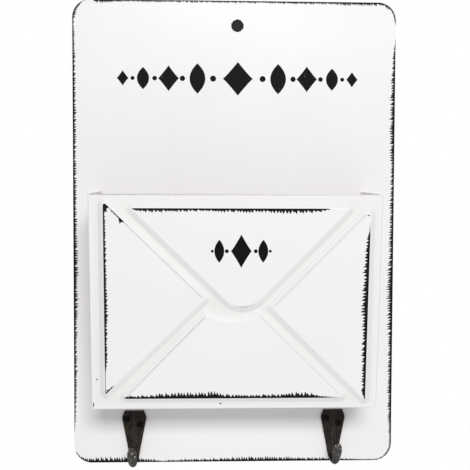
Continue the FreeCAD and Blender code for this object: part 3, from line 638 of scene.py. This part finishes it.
def wall_path():
    """The path down the left wall, along the bottom and up the right wall.

    Each row has the wall's outward direction, the place on the wall's outline, and the place on
    the flange's outline, both across and in height. On the two walls it also has the share of the
    way up to the wall's top edge, which is higher at the back.
    """
    arc = np.sin(np.linspace(0, math.pi / 2, CORNER_ROWS))
    top = WALL_TOP - FLANGE_CORNER + FLANGE_CORNER * arc[::-1]
    low = POCKET_BOTTOM + EDGE_FOLD
    side_z = np.concatenate([top, np.linspace(top[-1], low, WALL_ROWS - CORNER_ROWS + 1)[1:]])
    share = (side_z - low) / (WALL_TOP - low)
    side_x = np.full(len(side_z), FLANGE_HALF)
    near_top = np.clip(side_z - (WALL_TOP - FLANGE_CORNER), 0, FLANGE_CORNER)
    side_x -= FLANGE_CORNER - np.sqrt(FLANGE_CORNER ** 2 - near_top ** 2)
    turn = np.linspace(0, math.pi / 2, 9)[1:]
    across = np.stack([np.cos(turn), -np.sin(turn)], -1)
    corner = np.array([POCKET_HALF - EDGE_FOLD, low]) + EDGE_FOLD * across
    outer_middle = np.array([FLANGE_HALF - FLANGE_CORNER, FLANGE_BOTTOM + FLANGE_CORNER])
    outer_corner = outer_middle + FLANGE_CORNER * across
    half = np.linspace(1, 0, BOTTOM_ROWS + 1)[1:, None]
    bottom = np.hstack([half * corner[-1, 0], np.full_like(half, corner[-1, 1])])
    outer_bottom = np.hstack([half * outer_corner[-1, 0], np.full_like(half, FLANGE_BOTTOM)])
    wall = np.vstack([np.stack([np.full(len(side_z), POCKET_HALF), side_z], -1), corner, bottom])
    flange = np.vstack([np.stack([side_x, side_z], -1), outer_corner, outer_bottom])
    normal = np.vstack([np.tile([1.0, 0.0], (WALL_ROWS, 1)), across,
                        np.tile([0.0, -1.0], (BOTTOM_ROWS, 1))])
    shares = np.concatenate([share, np.full(len(corner) + BOTTOM_ROWS, np.nan)])
    mirror = np.array([-1.0, 1.0])
    wall = np.vstack([wall * mirror, wall[::-1][1:]])
    flange = np.vstack([flange * mirror, flange[::-1][1:]])
    normal = np.vstack([normal * mirror, normal[::-1][1:]])
    return wall, flange, normal, np.concatenate([shares, shares[::-1][1:]])


def pocket_band():
    """The bent sheet round the front: fold, wall, root bend and flange, as rows of points.

    The profile runs from the front's face round the fold, back along the wall, out round the root
    bend and along the flange, and is carried along the wall's path.
    """
    wall, flange, normal, share = wall_path()
    rows = len(wall)
    columns = []
    low = POCKET_BOTTOM + EDGE_FOLD

    def settle(place, y):
        """Moves places on the two walls to their share of the way up to the leaning top edge."""
        top = POCKET_TOP + (WALL_TOP - POCKET_TOP) * (y - FRONT_HIGH) / (FLANGE_FACE - FRONT_HIGH)
        z = np.where(np.isnan(share), place[:, 1], low + np.nan_to_num(share) * (top - low))
        return np.stack([place[:, 0] + POCKET_MIDDLE, y, z], -1)

    for angle in np.linspace(0, math.pi / 2, 8):
        place = wall - normal * (FOLD * (1 - math.sin(angle)))
        y = front_height(place[:, 1])
        # The height shifts with the depth and the depth with the height: three rounds settle both
        for _ in range(3):
            y = front_height(settle(place, y)[:, 2])
        y = y + FOLD * (1 - math.cos(angle))
        columns.append(settle(place, y))
        start = y
    stop = FLANGE_FACE - ROOT
    for along in np.linspace(0, 1, 12)[1:]:
        columns.append(settle(wall, start + (stop - start) * along))
    for angle in np.linspace(0, math.pi / 2, 6)[1:]:
        place = wall + normal * (ROOT * (1 - math.cos(angle)))
        columns.append(settle(place, np.full(rows, FLANGE_FACE - ROOT * (1 - math.sin(angle)))))
    root = wall + normal * ROOT
    for along in (0.2, 0.5, 0.8, 0.94, 1.0):
        place = root + (flange - root) * along
        columns.append(settle(place, np.full(rows, FLANGE_FACE)))
    return np.stack(columns, 1)


def make_letter_pocket(enamel, plain):
    """The pocket's pressed front, and its bent walls and flange, as one sheet 0.8 mm thick.

    The front is filled between its border, two lines close below its top edge and the loops of the
    panels. Each loop carries the values of its points.
    """
    band = pocket_band()
    rows, columns = band.shape[:2]
    edge = band[:, 0]
    border = np.stack([edge[:, 0] - POCKET_MIDDLE, (edge - FRONT_MIDDLE) @ UP_SLOPE], -1)
    (left, _), (right, top) = border[0], border[-1]
    loops = []
    values = {key: [] for key in ("height", "edge_in", "edge_run", "worn", "rubbed", "painted_shade")}

    def add_loop(loop, height=0.0, inward=FAR, run=0.0, worn=0.0, rubbed=0.0, painted_shade=0.0):
        """Adds a loop with its values, each one number or a number per point."""
        loops.append(loop)
        for numbers, given in zip(values.values(), (height, inward, run, worn, rubbed, painted_shade)):
            numbers.append(np.broadcast_to(given, len(loop)))

    top_line = np.stack([np.linspace(right, left, RIM_POINTS + 2)[1:-1], np.full(RIM_POINTS, top)], -1)
    rim_rub = np.linspace(0.6, 2.2, RIM_POINTS)
    add_loop(np.vstack([border, top_line]), rubbed=np.concatenate([np.zeros(len(border)), rim_rub]))
    # The two lines below the top edge carry the rim's grey line and a little painted shade
    for below, rub in ((0.6, rim_rub), (1.1, 0.0)):
        line = np.linspace(right - 0.5, left + 0.5, RIM_POINTS)
        add_loop(np.stack([line, np.full(RIM_POINTS, top - below)], -1), rubbed=rub, painted_shade=0.2)
    # Each panel's loops carry painted shade that deepens out into the groove
    for name in PANELS:
        for loop, out, *numbers in panel_loops(name):
            add_loop(loop, *numbers, np.interp(out, SHADE_PLACES, [0.0, 1.0]))
    flat, triangles = fill_loops(loops)
    front = on_front(flat, np.concatenate(values.pop("height")))
    front[:, 1] = np.maximum(front[:, 1], POCKET_REACH)
    band_faces = grid_faces(rows, columns) + len(front)
    points = np.vstack([front, band.reshape(-1, 3)])
    # The band is unworn, but for a thin grey line along the fold at the right wall
    band_rub = np.zeros((rows, columns))
    band_rub[1 - WALL_ROWS:, 3:5] = 0.7
    on_band = {"edge_in": np.full(rows * columns, FAR), "rubbed": band_rub.ravel()}
    unworn = np.zeros(rows * columns)
    values = {key: np.concatenate([*numbers, on_band.get(key, unworn)])
              for key, numbers in values.items()}
    pocket = make_piece("pocket_enamelled", points, triangles.tolist() + band_faces.tolist(),
                        [enamel, plain], "pocket_enamel", values, "letter_pocket")
    weld(pocket)
    sheet = pocket.modifiers.new("sheet", "SOLIDIFY")
    sheet.thickness = SHEET * 0.001
    sheet.offset = -1.0
    sheet.use_even_offset = True
    sheet.material_offset = 1
    sheet.material_offset_rim = 0
    soften_edges(pocket, 0.2, 55)


# Hooks

# Each hook's place across and the radius of its bend
HOOKS = {"hook_left": (-89.5, 13.4), "hook_right": (85.5, 12.5)}
# The height of the hooks' top, the start of the bend and the end along a hook, and the bend's turn
HOOK_TOP, HOOK_FOOT, HOOK_END, BEND_TURN = -335.5, 32.6, 86.7, math.radians(145)
# The rivets' places from the hook's middle and top, and their seats: the radii of the rim and the
# foot of a seat's wall, and its floor above the hook's back
HOOK_RIVETS = [(-6.3, 6.8), (4.8, 11.9)]
SEAT_RIM, SEAT_FOOT, SEAT_FLOOR = 2.75, 2.45, 1.1
# Points along the six sides of the hook's section, from its left edge round its back
SECTION_POINTS = [14, 14, 5, 22, 22, 5]
# Along the hook from its top edge: millimetres, width, thickness, front edge, back edge
HOOK_FORM = np.array([
    (0.0, 16.8, 3.1, 2.3, 0.0), (3.0, 19.3, 3.2, 2.3, 0.0), (5.2, 21.0, 3.2, 2.2, 0.0),
    (6.6, 21.3, 3.2, 2.2, 0.0), (8.6, 20.5, 3.2, 2.25, 0.0), (20.0, 16.0, 3.2, 2.4, 0.0),
    (32.6, 11.0, 3.25, 2.45, 0.05), (40.0, 9.1, 3.4, 2.6, 0.3), (46.0, 7.1, 3.55, 2.75, 0.6),
    (52.0, 5.1, 3.65, 2.8, 0.95), (57.0, 4.7, 3.5, 2.65, 1.1), (62.0, 5.6, 3.2, 2.4, 1.15),
    (66.0, 6.7, 3.0, 2.2, 1.1), (70.5, 7.6, 2.95, 2.1, 1.05), (75.5, 8.0, 2.8, 2.0, 1.0),
    (80.0, 7.4, 2.6, 1.85, 0.95), (83.5, 5.6, 2.3, 1.6, 0.8), (85.6, 3.5, 1.9, 1.35, 0.65),
    (86.7, 1.3, 1.5, 1.1, 0.5)])


def hook_line(along, radius):
    """The hook's back line from the side: straight down, round the bend, then straight on.

    Gives the place ahead and up from the hook's top at the plate's front, and the direction from
    the back line to the hook's front face.
    """
    turn = np.clip((along - HOOK_FOOT) / radius, 0, BEND_TURN)
    down = np.minimum(along, HOOK_FOOT)
    past = np.clip(along - HOOK_FOOT - radius * BEND_TURN, 0, None)
    ahead = -radius * (1 - np.cos(turn)) - past * np.sin(turn)
    up = -down - radius * np.sin(turn) - past * np.cos(turn)
    return np.stack([ahead, up], -1), np.stack([-np.cos(turn), np.sin(turn)], -1)


def make_hook(name, across, radius, iron):
    """A cast hook: a six-sided section with softened corners, carried along the back line.

    Its form runs straight from entry to entry of the table and is then smoothed by a bell-shaped
    mean. Three crossed sine waves, together under 0.14 mm high, give the front its hammered skin,
    and the seats of the two rivets are sunk in the foot.
    """
    along = np.concatenate([np.arange(0, 21, 0.3), np.arange(21, HOOK_END, 0.55), [HOOK_END]])
    width, thick, front, behind = [np.interp(along, HOOK_FORM[:, 0], HOOK_FORM[:, n])
                                   for n in range(1, 5)]
    step, reach = 0.2, 1.1
    even = np.arange(-2.0, 90.0, step)
    bell = np.exp(-(np.arange(-12, 13) * step / reach) ** 2)
    for form in (width, thick, front, behind):
        padded = np.interp(even, along, form)
        form[:] = np.interp(along, even, np.convolve(padded, bell / bell.sum(), "same"))
    # The last 0.7 mm narrows to a blunt end
    tip = along > 86
    width[tip] = np.interp(along[tip], [86, HOOK_END], [width[~tip][-1], 1.6])
    half = width / 2
    zero = np.zeros_like(half)
    corners = np.stack([np.stack([-half, behind], -1), np.stack([zero, zero], -1),
                        np.stack([half, behind], -1), np.stack([half, front], -1),
                        np.stack([zero, thick], -1), np.stack([-half, front], -1)], 1)
    sides = np.roll(corners, -1, 1) - corners
    section = np.concatenate([corners[:, n, None] + sides[:, n, None]
                              * (np.arange(count) / count)[None, :, None]
                              for n, count in enumerate(SECTION_POINTS)], 1)
    rings = section.copy()
    for _ in range(3):
        rings = (np.roll(rings, 1, 1) + 2 * rings + np.roll(rings, -1, 1)) / 4
    # The foot's back stays flat on the plate
    flat_back = section[..., 1] <= 0.02
    rings[..., 1] = np.where(flat_back, section[..., 1], rings[..., 1])
    x, n = rings[..., 0], rings[..., 1]
    s = along[:, None]
    on_face = smooth_between(0.3, 1.2, n)
    phase = across * 0.37
    waves = (np.sin(s * 0.9 + x * 0.7 + phase) + np.sin(s * 1.7 - x * 1.3 + 2 * phase)
             + np.sin(s * 0.45 + x * 2.1 + 3 * phase)) * 0.045
    n = n + waves * on_face
    for side, drop in HOOK_RIVETS:
        sunk = smooth_between(SEAT_RIM, SEAT_FOOT, np.hypot(x - side, s - drop))
        n = np.where(n > SEAT_FLOOR, n + (SEAT_FLOOR - n) * sunk, n)
    place, out = hook_line(along, radius)
    y = -PLATE_SHEET + place[:, :1] + out[:, :1] * n
    z = HOOK_TOP + place[:, 1:] + out[:, 1:] * n
    points = np.stack([across + x, y, z], -1)
    rows, columns = points.shape[:2]
    ridge = np.exp(-(x / 0.45) ** 2) * smooth_between(0.6 * thick, 0.95 * thick, n.max(1))[:, None]
    ridge = ridge * (n > 1.5)
    leaf = smooth_between(60, 70, s) * np.ones_like(x)
    faces = grid_faces(rows, columns, closed=True).tolist()
    faces.append(list(range(columns)))
    faces.append(list(range((rows - 1) * columns, rows * columns))[::-1])
    make_piece(name + "_cast", points.reshape(-1, 3), faces, [iron], "hook_iron",
               {"ridge": ridge.ravel(), "tip": leaf.ravel()}, name)


# Printed ornament: plain lozenges, leaves and dots in black ink

# The ink stands this high on the enamel, and as deep in it
INK_HEIGHT = 0.05


def pointed_shape(centre, half_width, half_height, bulge):
    """An outline with a point above and one below; bulge 1 is a lozenge and 2 is a leaf."""
    t = np.concatenate([np.linspace(-1, 1, 25), np.linspace(1, -1, 25)[1:-1]])
    side = np.concatenate([np.ones(25), -np.ones(23)])
    return np.stack([centre[0] + side * half_width * (1 - np.abs(t) ** bulge),
                     centre[1] + half_height * t], -1)


def print_shapes(centre, rows):
    """Mirrored shapes of an ornament: distance from its middle, half sizes and bulge, or a dot."""
    shapes = []
    for distance, half_width, half_height, bulge in rows:
        for side in ((0,) if distance == 0 else (-1, 1)):
            place = (centre[0] + side * distance, centre[1])
            if bulge:
                shapes.append(pointed_shape(place, half_width, half_height, bulge))
            else:
                shapes.append(ring(place, half_width, 32))
    return shapes


def make_print(name, shapes, lift, ink, slot):
    """Thin flat shapes of ink, as closed prisms; lift puts flat points and a height in place."""
    points, faces, start = [], [], 0
    for shape in shapes:
        count = len(shape)
        points += [lift(shape, INK_HEIGHT), lift(shape, -INK_HEIGHT)]
        number = np.arange(count)
        after = (number + 1) % count
        faces.append((start + number).tolist())
        faces.append((start + count + number[::-1]).tolist())
        faces += (start + np.stack([after, number, number + count, after + count], -1)).tolist()
        start += 2 * count
    piece = make_piece(name, np.vstack(points), faces, [ink], slot)
    piece.data.polygons.foreach_set("use_smooth", np.zeros(len(faces), bool))


def on_plate(flat, height=0.0):
    """Points of the plate's front face from (across, up) and a height out of it."""
    flat = np.asarray(flat, float)
    return np.stack([flat[:, 0], np.full(len(flat), -PLATE_SHEET - height), flat[:, 1]], -1)


def on_flap(flat, height=0.0):
    """Points of the raised flap's face from (across, up the slope) and a height out of it."""
    return on_front(flat, PANEL_HEIGHT + height)


# Build

pocket_white = white_enamel("enamel_on_pocket", (0.37, 0.78, 2.4))
plate_white = white_enamel("enamel_on_plate", (0.34, 0.80, 2.1))
plain_white = white_enamel("enamel_inside")
iron = hammered_iron()
rivet_black = black_steel()
ink = printed_black()
primer = bare_primer()

make_back_plate(plate_white)
make_letter_pocket(pocket_white, plain_white)
for hook_name, (hook_across, bend_radius) in HOOKS.items():
    make_hook(hook_name, hook_across, bend_radius, iron)
for node_name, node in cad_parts.items():
    if node_name.startswith("rivet"):
        node.data.materials.clear()
        node.data.materials.append(rivet_black)

make_print("plate_ornament", print_shapes((0.5, -45.5), [
    (0, 13.0, 14.5, 0.9), (21.5, 2.6, 0, 0), (35.0, 6.8, 13.0, 2.0), (48.0, 2.3, 0, 0),
    (60.0, 9.0, 11.0, 0.9), (72.0, 2.0, 0, 0), (82.0, 5.2, 9.5, 2.0), (91.0, 1.7, 0, 0),
    (99.5, 5.0, 6.5, 0.9)]), on_plate, ink, "plate_enamel")
make_print("flap_ornament", print_shapes((4.0, 42.2), [
    (0, 8.0, 13.0, 0.9), (11.2, 1.5, 0, 0), (17.0, 3.8, 9.0, 2.0), (22.4, 1.1, 0, 0)]),
    on_flap, ink, "pocket_enamel")

# Chips in the enamel down to the primer: middle across and up the front, half sizes, and the height
# of the face they are on
CHIPS = [(-108.9, -61.2, 0.7, 0.6, 0.0), (-11.5, -81.5, 0.8, 0.7, 0.0),
         (102.2, 70.2, 0.8, 0.5, PANEL_HEIGHT), (-112.0, -82.0, 0.4, 2.2, 0.0)]
for number, (chip_across, chip_up, half_across, half_up, chip_height) in enumerate(CHIPS):
    make_print(f"chip_{number}", [pointed_shape((chip_across, chip_up), half_across, half_up, 2.0)],
               lambda flat, height, base=chip_height: on_front(flat, base + height), primer,
               "pocket_enamel")


# Stage, light and camera

def make_stage_disc(name, finish_name, looks, outline):
    """A flat disc with a plain finish, which isn't part of the object."""
    finish, tree = new_finish(finish_name)
    shade(tree, looks)
    return make_piece(name, outline, [list(range(len(outline)))], [finish], None)


def area_light(name, place, target, width, height, power):
    """A soft rectangular studio light that faces its target, all in metres."""
    lamp = bpy.data.lights.new(name, "AREA")
    lamp.shape = "RECTANGLE"
    lamp.size, lamp.size_y, lamp.energy = width, height, power
    light = bpy.data.objects.new(name, lamp)
    bpy.context.scene.collection.objects.link(light)
    forward = np.subtract(target, place).astype(float)
    forward /= np.linalg.norm(forward)
    right = np.cross(forward, [0.0, 0.0, 1.0])
    right /= np.linalg.norm(right)
    up = np.cross(right, forward)
    matrix = np.eye(4)
    matrix[:3, 0], matrix[:3, 1], matrix[:3, 2], matrix[:3, 3] = right, up, -forward, place
    light.matrix_world = Matrix(matrix.tolist())


def make_world():
    """A white surround, pure white to the camera, that lights the part at less than half of that."""
    world = bpy.data.worlds.new("white_studio")
    bpy.context.scene.world = world
    world.use_nodes = True
    tree = world.node_tree
    tree.nodes.clear()
    path = add_node(tree, "LightPath")
    strength = add_node(tree, "MapRange", {"Value": path.outputs["Is Camera Ray"],
                        "To Min": 0.41, "To Max": 1.0})
    surround = add_node(tree, "Background", {"Color": (1.0, 1.0, 1.0, 1.0), "Strength": strength})
    add_node(tree, "OutputWorld", {"Surface": surround})


# The photograph's camera, solved from the plate's and the pocket's outlines: its place in metres,
# its tilt, roll and turn in degrees, where a tilt of 90 is level, and its focal length
CAMERA_PLACE, CAMERA_ANGLES = (-0.0300669, -0.7429913, -0.1468616), (87.36064, -0.18400, -2.19297)
FOCAL_LENGTH = 65.106


def make_camera():
    """The photograph's camera, which sees the part from a little left and below its hole."""
    lens = bpy.data.cameras.new("camera")
    lens.sensor_fit, lens.sensor_width, lens.lens = "HORIZONTAL", 36.0, FOCAL_LENGTH
    lens.clip_start, lens.clip_end = 0.01, 20.0
    camera = bpy.data.objects.new("camera", lens)
    bpy.context.scene.collection.objects.link(camera)
    angles = Euler([math.radians(angle) for angle in CAMERA_ANGLES])
    camera.matrix_world = Matrix.LocRotScale(CAMERA_PLACE, angles, None)
    bpy.context.scene.camera = camera


bpy.context.scene.view_settings.view_transform = "Standard"
# A pale round floor well below the part, and a dark disc close behind the hanging hole: painted
# shade that stands for the wall in shade, which the hole shows
floor = make_stage_disc("floor", "floor_pale", {"Base Color": linear("#F2F2F2"), "Roughness": 0.8},
                        np.insert(ring((0.0, 0.0), 620.0, 96), 2, -620.0, 1))
spot = make_stage_disc("painted_wall_shade", "wall_in_shade",
                       {"Base Color": linear("#333232"), "Roughness": 0.9, "Specular IOR Level": 0.1},
                       np.insert(ring((0.0, 0.0), 5.4, 48), 1, 0.35, 1))
make_world()
area_light("key", (0.14, -1.85, 0.52), (0.0, 0.0, -0.2), 0.6, 0.35, 23.0)
area_light("behind", (0.5, 1.8, 0.4), (0.0, 0.0, -0.2), 1.2, 0.8, 14.0)
make_camera()
